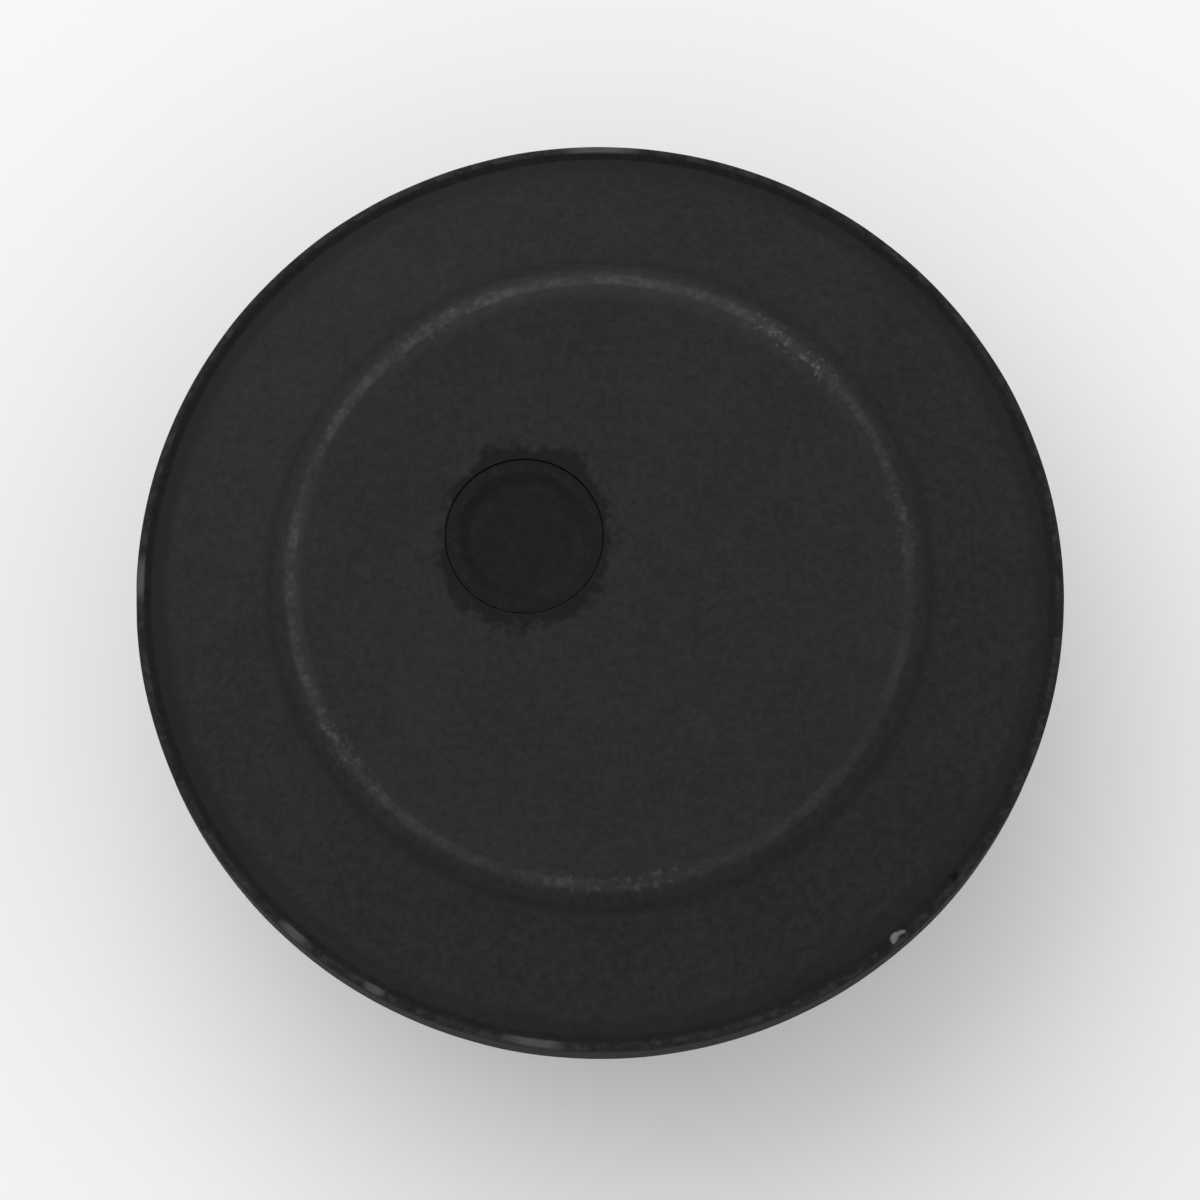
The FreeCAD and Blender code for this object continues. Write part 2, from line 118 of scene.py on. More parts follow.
def outline_points(corners):
    """Points along an outline of (radius, z) or (radius, z, rounding) corners."""
    points = []
    count = len(corners)
    for index, corner in enumerate(corners):
        here = Vector(corner[:2])
        size = corner[2] if len(corner) > 2 else 0
        if not size:
            points.append(here)
            continue
        before = (Vector(corners[index - 1][:2]) - here).normalized()
        after = (Vector(corners[(index + 1) % count][:2]) - here).normalized()
        half = before.angle(after) / 2
        centre = here + (before + after).normalized() * size / math.sin(half)
        start = here + before * size / math.tan(half) - centre
        end = here + after * size / math.tan(half) - centre
        turn = (math.atan2(end.y, end.x) - math.atan2(start.y, start.x) + math.pi) % (2 * math.pi) - math.pi
        for step in range(ARC_STEPS + 1):
            share = turn * step / ARC_STEPS
            points.append(centre + Vector((start.x * math.cos(share) - start.y * math.sin(share),
                                           start.x * math.sin(share) + start.y * math.cos(share))))
    return points


def dense(points, spacing, closed=True):
    """The outline again, with long runs cut into pieces no longer than the spacing."""
    result = []
    runs = len(points) if closed else len(points) - 1
    for index in range(runs):
        start, end = points[index], points[(index + 1) % len(points)]
        pieces = max(1, math.ceil((end - start).length / spacing))
        result += [start.lerp(end, piece / pieces) for piece in range(pieces)]
    if not closed:
        result.append(points[-1])
    return result


def ring_mesh(name, rings, closed, around=AROUND, shape=None):
    """A mesh through rings of (radius, z, centre). A ring of radius 0 is a single point.
    shape(point, angle) may move each point a little."""
    mesh = bmesh.new()
    rows = []
    for radius, z, centre in rings:
        if radius <= 0:
            rows.append([mesh.verts.new((centre.x, centre.y, z))])
            continue
        row = []
        for step in range(around):
            angle = 2 * math.pi * step / around
            point = Vector((centre.x + radius * math.cos(angle), centre.y + radius * math.sin(angle), z))
            row.append(mesh.verts.new(shape(point, angle) if shape else point))
        rows.append(row)
    pairs = list(zip(rows, rows[1:]))
    if closed:
        pairs.append((rows[-1], rows[0]))
    for lower, upper in pairs:
        for step in range(around):
            after = (step + 1) % around
            if len(lower) == 1:
                mesh.faces.new((lower[0], upper[after], upper[step]))
            elif len(upper) == 1:
                mesh.faces.new((lower[step], lower[after], upper[0]))
            else:
                mesh.faces.new((lower[step], lower[after], upper[after], upper[step]))
    bmesh.ops.recalc_face_normals(mesh, faces=mesh.faces)
    data = bpy.data.meshes.new(name)
    mesh.to_mesh(data)
    mesh.free()
    for polygon in data.polygons:
        polygon.use_smooth = True
    piece = bpy.data.objects.new(name, data)
    bpy.context.scene.collection.objects.link(piece)
    return piece


def turned(name, corners, centre=None, spacing=1.0, closed=True, around=AROUND, shape=None):
    """A piece turned about a vertical axis."""
    centre = centre or Vector((0, 0, 0))
    points = dense(outline_points(corners), spacing, closed)
    return ring_mesh(name, [(point.x, point.y, centre) for point in points], closed, around, shape)


def smooth_by_angle(piece, degrees=35):
    """Keeps corners sharper than this angle crisp."""
    piece.data.set_sharp_from_angle(angle=math.radians(degrees))


def finish_piece(piece, body, slot, material, *nodes):
    """Gives a piece its material and body, and says which CAD nodes it stands for. The slot argument is not
    used.
    """
    piece.data.materials.clear()
    piece.data.materials.append(material)
    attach(piece, body)
    if nodes:
        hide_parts(*nodes)
    return piece


# ---------------------------------------------------------------- material helpers

class Shader:
    """A Principled material with short calls for its nodes."""

    def __init__(self, name):
        self.material = bpy.data.materials.new(name)
        self.material.use_nodes = True
        self.tree = self.material.node_tree
        self.surface = self.tree.nodes["Principled BSDF"]
        self.place = self.tree.nodes.new("ShaderNodeTexCoord").outputs["Object"]

    def put(self, socket, value):
        if isinstance(value, bpy.types.NodeSocket):
            self.tree.links.new(value, socket)
        elif value is not None:
            socket.default_value = value

    def maths(self, operation, first, second=None, clamp=False):
        node = self.tree.nodes.new("ShaderNodeMath")
        node.operation = operation
        node.use_clamp = clamp
        self.put(node.inputs[0], first)
        self.put(node.inputs[1], second)
        return node.outputs[0]

    def noise(self, size, detail=3.0, rough=0.5, stretch=(1, 1, 1)):
        """Noise whose features are about this many metres."""
        mapping = self.tree.nodes.new("ShaderNodeMapping")
        self.put(mapping.inputs["Vector"], self.place)
        mapping.inputs["Scale"].default_value = stretch
        node = self.tree.nodes.new("ShaderNodeTexNoise")
        self.put(node.inputs["Vector"], mapping.outputs[0])
        node.inputs["Scale"].default_value = 1 / size
        node.inputs["Detail"].default_value = detail
        node.inputs["Roughness"].default_value = rough
        return node.outputs["Fac"]

    def step(self, value, low, high):
        """0 below low and 1 above high, smooth between; low above high turns it round."""
        node = self.tree.nodes.new("ShaderNodeMapRange")
        node.interpolation_type = "SMOOTHSTEP"
        self.put(node.inputs["Value"], value)
        swap = low > high
        node.inputs["From Min"].default_value = high if swap else low
        node.inputs["From Max"].default_value = low if swap else high
        node.inputs["To Min"].default_value = 1 if swap else 0
        node.inputs["To Max"].default_value = 0 if swap else 1
        return node.outputs["Result"]

    def band(self, value, low, high, soft):
        """1 between low and high, fading over soft on both sides."""
        rise = self.step(value, low - soft, low)
        fall = self.step(value, high + soft, high)
        return self.maths("MULTIPLY", rise, fall)

    def distance(self, centre=(0, 0)):
        """Distance from a vertical axis."""
        node = self.tree.nodes.new("ShaderNodeVectorMath")
        node.operation = "SUBTRACT"
        self.put(node.inputs[0], self.place)
        node.inputs[1].default_value = (centre[0], centre[1], 0)
        flat = self.tree.nodes.new("ShaderNodeVectorMath")
        flat.operation = "MULTIPLY"
        self.put(flat.inputs[0], node.outputs[0])
        flat.inputs[1].default_value = (1, 1, 0)
        length = self.tree.nodes.new("ShaderNodeVectorMath")
        length.operation = "LENGTH"
        self.put(length.inputs[0], flat.outputs[0])
        return length.outputs["Value"]

    def along(self, degrees):
        """Metres from the middle towards this direction, 0 being +X and 90 being +Y."""
        node = self.tree.nodes.new("ShaderNodeVectorMath")
        node.operation = "DOT_PRODUCT"
        self.put(node.inputs[0], self.place)
        turn = math.radians(degrees)
        node.inputs[1].default_value = (math.cos(turn), math.sin(turn), 0)
        return node.outputs["Value"]

    def near(self, point, size):
        """1 at a point, fading to 0 at this distance."""
        node = self.tree.nodes.new("ShaderNodeVectorMath")
        node.operation = "DISTANCE"
        self.put(node.inputs[0], self.place)
        node.inputs[1].default_value = point
        return self.step(node.outputs["Value"], size, 0.3 * size)

    def mix(self, share, first, second):
        """A colour between two, by a share from 0 to 1."""
        node = self.tree.nodes.new("ShaderNodeMix")
        node.data_type = "RGBA"
        self.put(node.inputs["Factor"], share)
        for socket, colour in ((node.inputs["A"], first), (node.inputs["B"], second)):
            self.put(socket, (*colour, 1) if isinstance(colour, tuple) else colour)
        return node.outputs["Result"]

    def bump(self, height, distance, strength=1.0, after=None):
        node = self.tree.nodes.new("ShaderNodeBump")
        self.put(node.inputs["Height"], height)
        node.inputs["Distance"].default_value = distance
        node.inputs["Strength"].default_value = strength
        self.put(node.inputs["Normal"], after)
        return node.outputs["Normal"]

    def finish(self, colour, rough, normal=None, **uniform):
        self.put(self.surface.inputs["Base Color"], (*colour, 1) if isinstance(colour, tuple) else colour)
        self.put(self.surface.inputs["Roughness"], rough)
        self.put(self.surface.inputs["Normal"], normal)
        for name, value in uniform.items():
            self.surface.inputs[name.replace("_", " ")].default_value = value
        return self.material


# ---------------------------------------------------------------- materials

CHARCOAL = (0.0074, 0.0076, 0.0077)
CHARCOAL_LIGHT = (0.0162, 0.0166, 0.0168)
# Pale tone for real scuffs and wear, also used for painted highlights along the plateau's edge.
WEAR_AND_HIGHLIGHT = (0.050, 0.051, 0.051)
# Dark tone for real dirt specks round the nest, also used for painted shade at the step's foot and in the
# rim's valley.
GRIME_AND_SHADE = (0.0050, 0.0048, 0.0045)
STAIN = (0.0024, 0.0014, 0.0003)
PALE = (0.105, 0.105, 0.103)
GLOSS = 0.16


def moulded_plastic(name, dark=CHARCOAL, light=CHARCOAL_LIGHT, grain=0.00035, finish=True):
    """Matt moulded plastic: mottled tone, fine grain, faint scuffs."""
    shader = Shader(name)
    clouds = shader.noise(0.012, 4.0, 0.6)
    mottle = shader.noise(0.0012, 3.0, 0.6)
    speckle = shader.noise(grain * 1.8, 2.0, 0.6)
    tone = shader.maths("ADD", shader.maths("MULTIPLY", clouds, 0.20), shader.maths("MULTIPLY", mottle, 0.40))
    tone = shader.maths("ADD", tone, shader.maths("MULTIPLY", speckle, 0.40))
    colour = shader.mix(shader.step(tone, 0.34, 0.66), dark, light)
    scuff = shader.step(shader.noise(0.0012, 5.0, 0.7, (1, 6, 1)), 0.60, 0.76)
    colour = shader.mix(shader.maths("MULTIPLY", scuff, 0.22), colour, WEAR_AND_HIGHLIGHT)
    rough = shader.maths("ADD", 0.52, shader.maths("MULTIPLY", mottle, 0.16))
    texture = shader.noise(grain, 2.0, 0.55)
    waves = shader.bump(clouds, 0.00012, 0.35)
    dimples = shader.bump(mottle, 0.00010, 0.35, waves)
    normal = shader.bump(texture, 0.00006, 0.6, dimples)
    if finish:
        return shader.finish(colour, rough, normal, Specular_IOR_Level=GLOSS)
    return shader, colour, rough, normal


def centred(shader, size, spread):
    """Noise about 0 that reaches roughly a quarter of the spread either way."""
    wave = shader.noise(size, 4.0, 0.65)
    return shader.maths("MULTIPLY", shader.maths("SUBTRACT", wave, 0.5), spread)


def add_stain(shader, colour):
    """The ragged brown-black stain round the nest's axis, and specks of dirt about it."""
    ragged = shader.maths("ADD", centred(shader, 0.0046, 7.0 * MM), centred(shader, 0.0012, 3.6 * MM))
    nest = shader.maths("MINIMUM", shader.distance(NEST + STAIN_SHIFT), shader.distance(NEST - STAIN_SHIFT))
    nest = shader.maths("ADD", nest, ragged)
    stain = shader.step(nest, 9.7 * MM, 8.2 * MM)
    share = shader.maths("ADD", 0.95, centred(shader, 0.0010, 1.3))
    colour = shader.mix(shader.maths("MULTIPLY", stain, share, clamp=True), colour, STAIN)
    dirt = shader.maths("MULTIPLY", shader.step(shader.noise(0.0011, 2.0, 0.5), 0.64, 0.70),
                        shader.step(shader.distance(NEST), 17 * MM, 9 * MM))
    return shader.mix(shader.maths("MULTIPLY", dirt, 0.85), colour, GRIME_AND_SHADE)


# Bearing, reach in millimetres and strength of the patches where tags have rubbed the plateau's edge
RUBBED = ((50, 8.0, 0.60), (12, 7.5, 0.17), (-87, 12.0, 0.20), (120, 9.0, 0.25), (215, 9.0, 0.25))


def cover_material():
    """The cover's plastic, rubbed pale along the plateau's edge with a painted highlight there, painted shade
    at the step's foot and in the rim's valley, and a stain round the nest.
    """
    shader, colour, rough, normal = moulded_plastic("cover_plastic", finish=False)
    radius = shader.distance()
    flecks = shader.noise(0.0007, 3.0, 0.65)
    # Pale band along the plateau's edge: partly real rubbing, partly a painted highlight, stronger towards
    # the upper left where the light comes from.
    wander = shader.maths("ADD", radius, centred(shader, 0.0050, 0.6 * MM))
    edge = shader.band(wander, 32.15 * MM, 32.65 * MM, 0.55 * MM)
    side = shader.step(shader.along(130), -36 * MM, 34 * MM)
    rubbed = shader.maths("ADD", shader.maths("MULTIPLY", shader.step(flecks, 0.38, 0.68), 0.40), 0.20)
    patches = shader.maths("ADD", shader.step(shader.noise(0.0065, 3.0, 0.6), 0.30, 0.65), 0.35)
    rubbed = shader.maths("MULTIPLY", rubbed, patches)
    rubbed = shader.maths("MULTIPLY", rubbed, shader.maths("ADD", 0.34, shader.maths("MULTIPLY", side, 0.95)))
    colour = shader.mix(shader.maths("MULTIPLY", rubbed, edge), colour, WEAR_AND_HIGHLIGHT)
    # Painted highlight: a pale band just inside the plateau's edge, lighter towards the top.
    inside = shader.band(radius, 31.4 * MM, 32.6 * MM, 1.5 * MM)
    top = shader.step(shader.along(85), 10 * MM, 36 * MM)
    colour = shader.mix(shader.maths("MULTIPLY", shader.maths("MULTIPLY", inside, top), 0.20), colour, WEAR_AND_HIGHLIGHT)
    # Painted highlight: a second thin pale line inside the plateau's edge, on the left side only.
    second = shader.band(radius, 31.5 * MM, 31.7 * MM, 0.35 * MM)
    left = shader.step(shader.along(180), 27 * MM, 31 * MM)
    colour = shader.mix(shader.maths("MULTIPLY", shader.maths("MULTIPLY", second, left), 0.14), colour, WEAR_AND_HIGHLIGHT)
    spots = shader.step(shader.noise(0.0009, 3.0, 0.7), 0.52, 0.64)
    ring = shader.band(radius, 31.7 * MM, 33.0 * MM, 0.7 * MM)
    for degrees, reach, strength in RUBBED:
        patch = shader.near(at_bearing(degrees, 32.9 * MM, PLATEAU_Z), reach * MM)
        share = shader.maths("MULTIPLY", shader.maths("MULTIPLY", patch, spots), strength)
        colour = shader.mix(shader.maths("MULTIPLY", share, ring), colour, PALE)
    # Painted shade in the crease at the step's foot, all round.
    foot = shader.band(radius, 34.5 * MM, 35.2 * MM, 0.5 * MM)
    colour = shader.mix(shader.maths("MULTIPLY", foot, 0.3), colour, GRIME_AND_SHADE)
    # Painted shade in the valley between cover and trim, darker towards the left.
    valley = shader.band(radius, 46.2 * MM, 47.6 * MM, 1.1 * MM)
    valley_shade = shader.maths("MULTIPLY", shader.step(shader.along(170), 20 * MM, 46 * MM), 0.35)
    valley_shade = shader.maths("ADD", valley_shade, 0.40)
    colour = shader.mix(shader.maths("MULTIPLY", valley, valley_shade), colour, GRIME_AND_SHADE)
    colour = add_stain(shader, colour)
    return shader.finish(colour, rough, normal, Specular_IOR_Level=GLOSS)


def plunger_material():
    """The same plastic, under the stain that runs on from the cover, and rubbed by tags."""
    shader, colour, rough, normal = moulded_plastic("plunger_plastic", finish=False)
    colour = add_stain(shader, colour)
    marks = shader.step(shader.noise(0.0008, 4.0, 0.7), 0.56, 0.70)
    colour = shader.mix(shader.maths("MULTIPLY", marks, 0.08), colour, (0.040, 0.034, 0.028))
    return shader.finish(colour, rough, normal, Specular_IOR_Level=GLOSS)


def metal(name, dark, light, rough_low, rough_high):
    """Bare or plated metal: fine marks, uneven tone and gloss."""
    shader = Shader(name)
    clouds = shader.noise(0.008, 4.0, 0.6)
    marks = shader.noise(0.002, 4.0, 0.7)
    tone = shader.maths("ADD", shader.maths("MULTIPLY", clouds, 0.6), shader.maths("MULTIPLY", marks, 0.4))
    colour = shader.mix(shader.step(tone, 0.35, 0.65), dark, light)
    rough = shader.maths("ADD", rough_low, shader.maths("MULTIPLY", marks, rough_high - rough_low))
    normal = shader.bump(marks, 0.00004, 0.6)
    return shader.finish(colour, rough, normal, Metallic=1.0)


def foam_material():
    """Black closed-cell foam with an open, crumbly skin."""
    shader = Shader("foam")
    cells = shader.noise(0.0006, 3.0, 0.6)
    clouds = shader.noise(0.006, 3.0, 0.5)
    colour = shader.mix(shader.step(cells, 0.35, 0.7), (0.008, 0.008, 0.008), (0.030, 0.030, 0.031))
    colour = shader.mix(shader.maths("MULTIPLY", clouds, 0.3), colour, (0.045, 0.044, 0.042))
    normal = shader.bump(cells, 0.00025, 0.8)
    return shader.finish(colour, 0.92, normal, Specular_IOR_Level=0.2)


# ---------------------------------------------------------------- pieces

def uneven(point, angle):
    """Moulded surfaces are not quite true, and the plateau's edge is worn unevenly."""
    radius = math.hypot(point.x, point.y)
    edge = max(0.0, 1 - abs(radius - STEP_TOP) / (0.9 * MM)) if point.z > STEP_FOOT_Z else 0.0
    chips = noise.noise(point * 900) + 0.6 * noise.noise(point * 2100)
    broad = noise.noise(point * 60)
    lift = 0.05 * MM * broad - edge * 0.09 * MM * max(0.0, chips)
    spread = 1 + 0.0006 * noise.noise(Vector((2 * math.cos(angle), 2 * math.sin(angle), 3.1)))
    return Vector((point.x * spread, point.y * spread, point.z + min(lift, 0)))


def make_cover():
    """The cap: plateau with its nest, step, sloping flange, groove, skirt and underside."""
    zero = Vector((0, 0, 0))
    rings = []
    for level in range(4):
        rings.append((NEST_RADIUS, COLLAR_Z + level * MM, NEST))
    for step in range(ARC_STEPS + 1):
        turn = math.pi / 2 * step / ARC_STEPS
        rings.append((NEST_RADIUS + NEST_MOUTH_ROUND * (1 - math.cos(turn)),
                      PLATEAU_Z - NEST_MOUTH_ROUND * (1 - math.sin(turn)), NEST))
    inner = NEST_RADIUS + NEST_MOUTH_ROUND
    outer = STEP_TOP - 1.2 * MM
    across = 44
    for step in range(1, across):
        share = step / across
        rings.append((inner + (outer - inner) * share, PLATEAU_Z, NEST.lerp(zero, share)))
    outside = [
        (outer, PLATEAU_Z),
        (STEP_TOP, PLATEAU_Z, 0.9 * MM),
        (STEP_FOOT, STEP_FOOT_Z, 0.5 * MM),
        (FLANGE_EDGE, FLANGE_EDGE_Z, 0.8 * MM),
        (COVER_RADIUS, VALLEY_Z),
        (COVER_RADIUS, cover_low.z, 0.3 * MM),
        (SKIRT_BORE, cover_low.z, 0.3 * MM),
        (SKIRT_BORE, SHELF_Z),
        (SKIRT_BORE - SHELF_WIDTH, SHELF_Z),
        (SKIRT_BORE - SHELF_WIDTH, SHELF_Z + 0.84 * MM),
        (STEP_FOOT - 0.4 * MM, barrel_high.z),
        (SEAT_INNER, barrel_high.z),
        (SEAT_INNER, PLATEAU_LOW_Z),
    ]
    points = dense(outline_points(outside), 0.35 * MM, closed=False)
    rings += [(point.x, point.y, zero) for point in points]
    under = 10
    for step in range(1, under):
        share = step / under
        radius = SEAT_INNER + (COLLAR_RADIUS - SEAT_INNER) * share
        rings.append((radius, PLATEAU_LOW_Z, zero.lerp(NEST, share)))
    rings.append((COLLAR_RADIUS, PLATEAU_LOW_Z, NEST))
    rings.append((COLLAR_RADIUS, COLLAR_Z, NEST))
    pieces = [ring_mesh("cover", rings, closed=True, shape=uneven)]
    for degrees in COVER_SCREW_ANGLES:
        pieces.append(turned("boss", [
            (0, SHELF_Z + PILOT_DEPTH),
            (PILOT_RADIUS, SHELF_Z + PILOT_DEPTH),
            (PILOT_RADIUS, SHELF_Z),
            (BOSS_RADIUS, SHELF_Z, 0.15 * MM),
            (BOSS_RADIUS, SHELF_Z + BOSS_HEIGHT),
            (0, SHELF_Z + BOSS_HEIGHT),
        ], centre=at_bearing(degrees, COVER_SCREW_CIRCLE), spacing=0.6 * MM, closed=False, around=48))
    piece = merged("cover_shell", pieces)
    smooth_by_angle(piece, 40)
    return finish_piece(piece, "housing", "cover", cover_material(), "top_cover")


# Bearing, and width and depth in millimetres, of the nicks in the rim
NICKS = (
    (-49.7, 1.1, 0.75),
    (-39.6, 0.5, 0.35),
    (181.5, 1.8, 0.12),
    (229.0, 2.2, 0.15),
    (-96.0, 2.6, 0.10),
)


def make_trim():
    """The band round the rim, with a rounded lip and a few nicks."""
    def nicked(point, angle):
        depth = 0.04 * MM * (0.5 + noise.noise(point * 160))
        for degrees, width, deep in NICKS:
            away = abs((math.degrees(angle) - degrees + 180) % 360 - 180)
            across = away * math.pi / 180 * RIM_RADIUS / (width * MM)
            level = max(0.0, 1 - abs(point.z - trim_high.z + 0.4 * MM) / (1.0 * MM))
            depth += deep * MM * math.exp(-across * across) * level
        out = Vector((math.cos(angle), math.sin(angle), 0))
        facing = 1.0 if math.hypot(point.x, point.y) > COVER_RADIUS + 0.5 * MM else 0.0
        return point - out * depth * facing - Vector((0, 0, 0.3 * depth * facing))

    piece = turned("rim_band", [
        (COVER_RADIUS, trim_low.z),
        (RIM_RADIUS, trim_low.z, 0.6 * MM),
        (RIM_RADIUS, trim_high.z, 0.9 * MM),
        (COVER_RADIUS + 0.7 * MM, trim_high.z, 0.4 * MM),
        (COVER_RADIUS, trim_high.z - 0.3 * MM),
    ], spacing=0.45 * MM, shape=nicked)
    shader, colour, rough, normal = moulded_plastic(
        "trim_plastic", (0.0070, 0.0072, 0.0073), (0.0150, 0.0153, 0.0155), grain=0.0003, finish=False)
    chip = shader.maths("MAXIMUM", shader.near(at_bearing(-50.2, 48.2 * MM, trim_high.z), 1.05 * MM),
                        shader.near(at_bearing(-49.4, 48.4 * MM, trim_high.z), 0.9 * MM))
    ragged = shader.step(shader.maths("ADD", chip, centred(shader, 0.0006, 1.0)), 0.25, 0.85)
    colour = shader.mix(ragged, colour, (0.20, 0.197, 0.192))
    lip = shader.band(shader.distance(), 48.25 * MM, 48.7 * MM, 0.3 * MM)
    worn = shader.maths("MULTIPLY", shader.step(shader.noise(0.0016, 4.0, 0.7), 0.42, 0.68), 0.45)
    colour = shader.mix(shader.maths("MULTIPLY", worn, lip), colour, WEAR_AND_HIGHLIGHT)
    # Painted shade on the trim's inner side, in the valley by the cover.
    inner = shader.band(shader.distance(), 47.0 * MM, 48.0 * MM, 0.5 * MM)
    colour = shader.mix(shader.maths("MULTIPLY", inner, 0.25), colour, GRIME_AND_SHADE)
    # Painted shade: near-black in the small nick at -39.6 degrees.
    pit = shader.near(at_bearing(-39.6, 47.9 * MM, trim_high.z), 0.8 * MM)
    colour = shader.mix(pit, colour, (0.002, 0.002, 0.002))
    for degrees, reach in ((178.3, 3.0), (229, 2.2), (262, 4.0), (241, 1.6), (90, 5.0)):
        patch = shader.near(at_bearing(degrees, 48.5 * MM, trim_high.z), reach * MM)
        glint = shader.maths("MULTIPLY", shader.maths("MULTIPLY", patch, lip), 0.5)
        colour = shader.mix(glint, colour, PALE)
    rough = shader.maths("ADD", rough, 0.2)
    smooth_by_angle(piece, 40)
    return finish_piece(piece, "housing", "trim",
                        shader.finish(colour, rough, normal, Specular_IOR_Level=0.12), "edge_trim")


def make_plunger():
    """The nest's floor: a dished, rounded head, hollow below."""
    outer = NEST_RADIUS - PLUNGER_GAP
    dish = plunger_high.z - 0.5 * MM
    pocket = plunger_high.z - 3.0 * MM
    piece = turned("nest_plunger", [
        (0, dish),
        (5.8 * MM, dish, 1.0 * MM),
        (7.0 * MM, plunger_high.z, 0.35 * MM),
        (outer, plunger_high.z, 0.1 * MM),
        (outer, plunger_low.z, 0.3 * MM),
        (PLUNGER_WELL, plunger_low.z),
        (PLUNGER_WELL, pocket),
        (STEM_RADIUS, pocket),
        (STEM_RADIUS, pocket + STEM_SOCKET),
        (0, pocket + STEM_SOCKET),
    ], centre=NEST, spacing=0.6 * MM, closed=False, around=180)
    smooth_by_angle(piece, 40)
    return finish_piece(piece, "plunger", "plunger", plunger_material(), "plunger_cap")


def make_liner():
    """The dark sleeve that the plunger slides in."""
    piece = turned("nest_sleeve", [
        (NEST_RADIUS, liner_low.z),
        (10.6 * MM, liner_low.z),
        (10.6 * MM, liner_high.z),
        (NEST_RADIUS, liner_high.z),
    ], centre=NEST, spacing=0.8 * MM, around=180)
    smooth_by_angle(piece, 40)
    material = moulded_plastic("liner_plastic", (0.0080, 0.0068, 0.0052), (0.013, 0.011, 0.009))
    return finish_piece(piece, "housing", "liner", material, "nest_liner")


def make_spring(material):
    """The coil under the plunger's head, with closed ends."""
    wire = 0.4 * MM
    coil = (spring_high.x - spring_low.x) / 2 - wire
    low = spring_low.z + wire
    height = spring_high.z - spring_low.z - 2 * wire
    turns = 9.0
    steps, sides = 760, 14
    mesh = bmesh.new()
    rows = []
    for step in range(steps + 1):
        share = step / steps
        close = 0.9 / turns
        if share < close:
            rise = 2 * wire / height * share / close * 0.55
        elif share > 1 - close:
            rise = 1 - 2 * wire / height * (1 - share) / close * 0.55
        else:
            start = 2 * wire / height * 0.55
            rise = start + (1 - 2 * start) * (share - close) / (1 - 2 * close)
        angle = 2 * math.pi * turns * share
        out = Vector((math.cos(angle), math.sin(angle), 0))
        middle = NEST + out * coil + Vector((0, 0, low + rise * height))
        row = []
        for side in range(sides):
            turn = 2 * math.pi * side / sides
            away = out * math.cos(turn) + Vector((0, 0, 1)) * math.sin(turn)
            row.append(mesh.verts.new(middle + away * wire))
        rows.append(row)
    for lower, upper in zip(rows, rows[1:]):
        for side in range(sides):
            after = (side + 1) % sides
            mesh.faces.new((lower[side], lower[after], upper[after], upper[side]))
    mesh.faces.new(rows[0])
    mesh.faces.new(rows[-1])
    bmesh.ops.recalc_face_normals(mesh, faces=mesh.faces)
    data = bpy.data.meshes.new("coil_spring")
    mesh.to_mesh(data)
    mesh.free()
    for polygon in data.polygons:
        polygon.use_smooth = True
    piece = bpy.data.objects.new("coil_spring", data)
    bpy.context.scene.collection.objects.link(piece)
    smooth_by_angle(piece, 50)
    finish_piece(piece, "housing", "spring_steel", material, "plunger_spring")
    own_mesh(piece)
    return piece


def merged(name, pieces):
    """One piece from several, with their meshes put together."""
    mesh = bmesh.new()
    for piece in pieces:
        mesh.from_mesh(piece.data)
        bpy.data.objects.remove(piece)
    data = bpy.data.meshes.new(name)
    mesh.to_mesh(data)
    mesh.free()
    whole = bpy.data.objects.new(name, data)
    bpy.context.scene.collection.objects.link(whole)
    return whole


def make_inserts(material):
    """Three brass inserts in the flange's underside, each with a threaded bore."""
    inserts_low, inserts_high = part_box("counter_inserts")
    pieces = []
    for degrees in INSERT_ANGLES:
        corners = [(INSERT_BORE + 0.3 * MM, inserts_low.z), (INSERT_RADIUS, inserts_low.z, 0.12 * MM),
                   (INSERT_RADIUS, inserts_high.z), (INSERT_BORE, inserts_high.z)]
        level = inserts_high.z - THREAD_PITCH / 2
        while level > inserts_low.z + 0.5 * MM:
            corners.append((INSERT_BORE, level + 0.12 * MM))
            corners.append((THREAD_ROOT, level))
            corners.append((INSERT_BORE, level - 0.23 * MM))
            level -= THREAD_PITCH
        corners.append((INSERT_BORE, inserts_low.z + 0.3 * MM))
        centre = at_bearing(degrees, INSERT_CIRCLE)
        pieces.append(turned("insert", corners, centre=centre, spacing=1.0 * MM, around=64))
    piece = merged("threaded_inserts", pieces)
    smooth_by_angle(piece, 30)
    return finish_piece(piece, "housing", "insert", material, "counter_inserts")


# ---------------------------------------------------------------- stage, light and camera

def soft_light(name, place, size, power):
    """A square softbox that faces the object."""
    data = bpy.data.lights.new(name, "AREA")
    data.shape = "SQUARE"
    data.size = size
    data.energy = power
    lamp = bpy.data.objects.new(name, data)
    lamp.location = place
    lamp.rotation_mode = "QUATERNION"
    lamp.rotation_quaternion = (Vector((0, 0, 0.03)) - Vector(place)).to_track_quat("-Z", "Y")
    bpy.context.scene.collection.objects.link(lamp)


def make_floor():
    """A plain pale floor."""
    mesh = bmesh.new()
    bmesh.ops.create_grid(mesh, x_segments=1, y_segments=1, size=3.0)
    data = bpy.data.meshes.new("floor")
    mesh.to_mesh(data)
    mesh.free()
    floor = bpy.data.objects.new("floor", data)
    bpy.context.scene.collection.objects.link(floor)
    shader = Shader("floor")
    floor.data.materials.append(shader.finish((0.88, 0.88, 0.88), 0.9, Specular_IOR_Level=0.1))


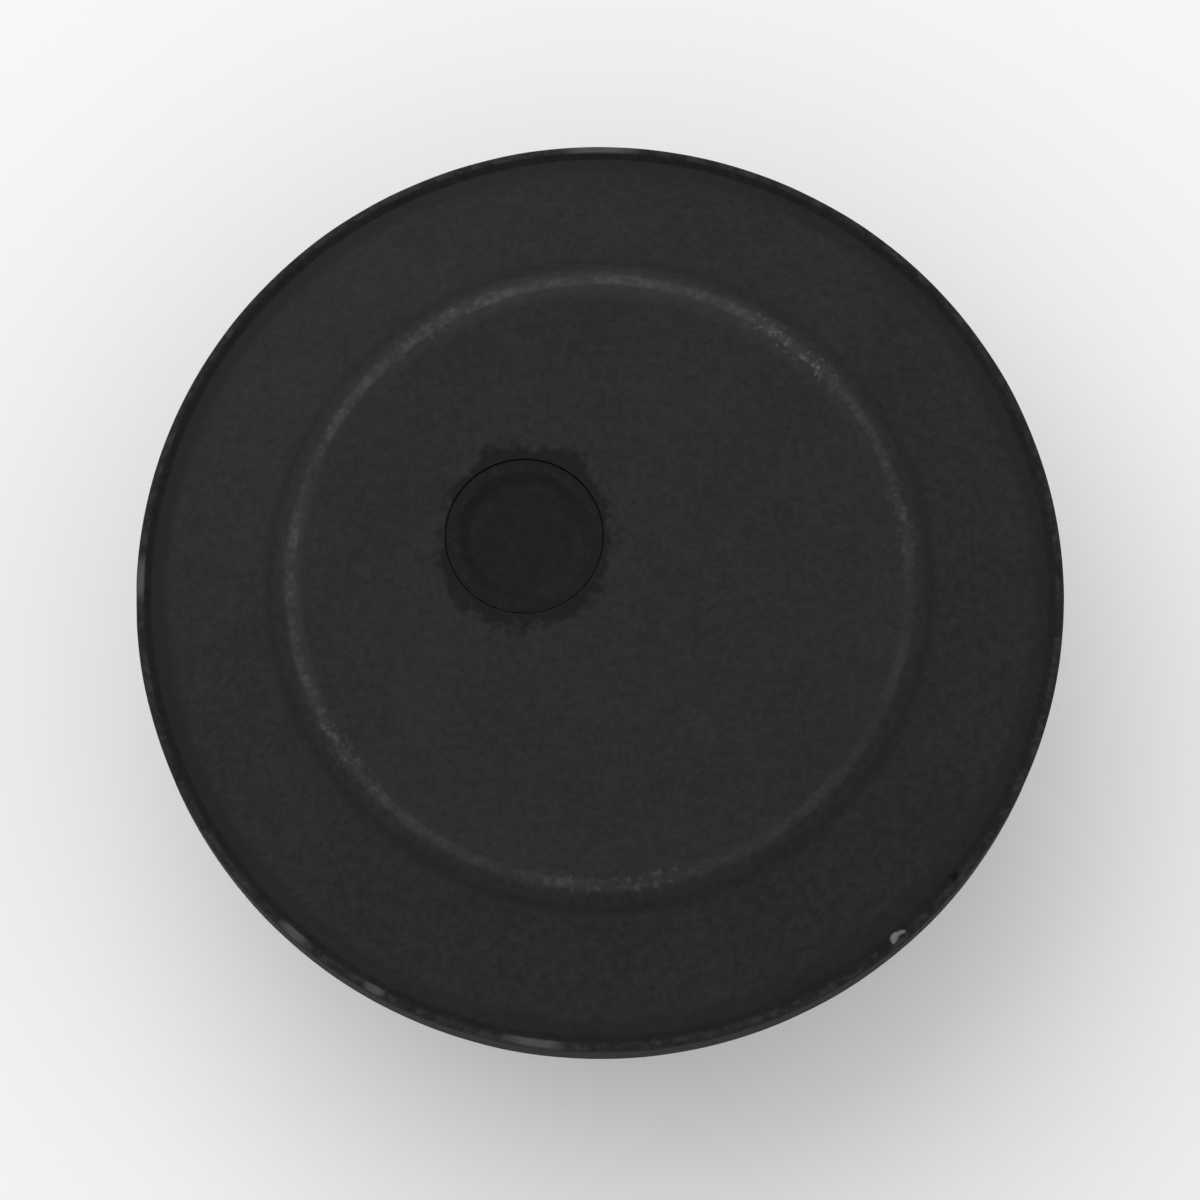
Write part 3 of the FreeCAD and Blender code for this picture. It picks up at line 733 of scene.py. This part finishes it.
def make_camera():
    """Almost straight down, 12.5 degrees off the vertical, from the front."""
    elevation = math.radians(77.5)
    distance = 0.60
    frame_width = RIM_RADIUS * 2 / (925 / 1200)
    data = bpy.data.cameras.new("camera")
    data.sensor_width = 36
    data.lens = data.sensor_width * distance / frame_width
    camera = bpy.data.objects.new("camera", data)
    back = Vector((0, -math.cos(elevation), math.sin(elevation)))
    target = Vector((0, -0.37 * MM, (trim_low.z + trim_high.z) / 2))
    camera.location = target + back * distance
    camera.rotation_mode = "QUATERNION"
    camera.rotation_quaternion = (-back).to_track_quat("-Z", "Y")
    bpy.context.scene.collection.objects.link(camera)
    bpy.context.scene.camera = camera


def make_lights():
    """One broad soft light from the upper left, in a pale room."""
    soft_light("key", (-0.60, 0.80, 1.40), 1.8, 11.0)
    world = bpy.data.worlds.new("room")
    bpy.context.scene.world = world
    world.use_nodes = True
    world.node_tree.nodes["Background"].inputs["Color"].default_value = (1, 1, 1, 1)
    world.node_tree.nodes["Background"].inputs["Strength"].default_value = 0.86
    bpy.context.scene.view_settings.view_transform = "Standard"
    bpy.context.scene.view_settings.look = "None"


make_cover()
make_trim()
make_plunger()
make_liner()

steel = metal("steel", (0.36, 0.36, 0.37), (0.52, 0.52, 0.53), 0.25, 0.5)
plated = metal("plated", (0.54, 0.54, 0.52), (0.62, 0.62, 0.59), 0.28, 0.5)
screw_metal = metal("screw_metal", (0.34, 0.34, 0.33), (0.46, 0.46, 0.44), 0.25, 0.45)
nickel = metal("nickel", (0.58, 0.56, 0.53), (0.72, 0.70, 0.67), 0.15, 0.35)
brass = metal("brass", (0.55, 0.38, 0.16), (0.72, 0.54, 0.27), 0.25, 0.45)
bronze = metal("bronze", (0.42, 0.26, 0.12), (0.56, 0.37, 0.19), 0.3, 0.5)
foam = foam_material()
housing_plastic = moulded_plastic("housing_plastic")
carrier_plastic = moulded_plastic("carrier_plastic", (0.025, 0.026, 0.027), (0.040, 0.041, 0.042))
CARRIED = {
    "plunger_stem": steel, "stem_clip": steel, "stem_bush": bronze,
    "pole_piece": steel, "upper_magnet": nickel, "flux_ring": steel, "lower_magnet": nickel,
    "back_yoke": steel, "damping_pad": foam, "magnet_carrier": carrier_plastic, "clamp_plate": plated,
    "clamp_screws": screw_metal, "barrel": housing_plastic, "mounting_flange": housing_plastic,
    "barrel_clip": steel, "cover_screws": screw_metal, "counter_gasket": foam,
    "base_plate": plated, "base_seal": foam, "base_screws": screw_metal,
}
for node, material in CARRIED.items():
    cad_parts[node].data.materials.clear()
    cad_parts[node].data.materials.append(material)

make_spring(steel)
make_inserts(brass)

make_floor()
make_camera()
make_lights()
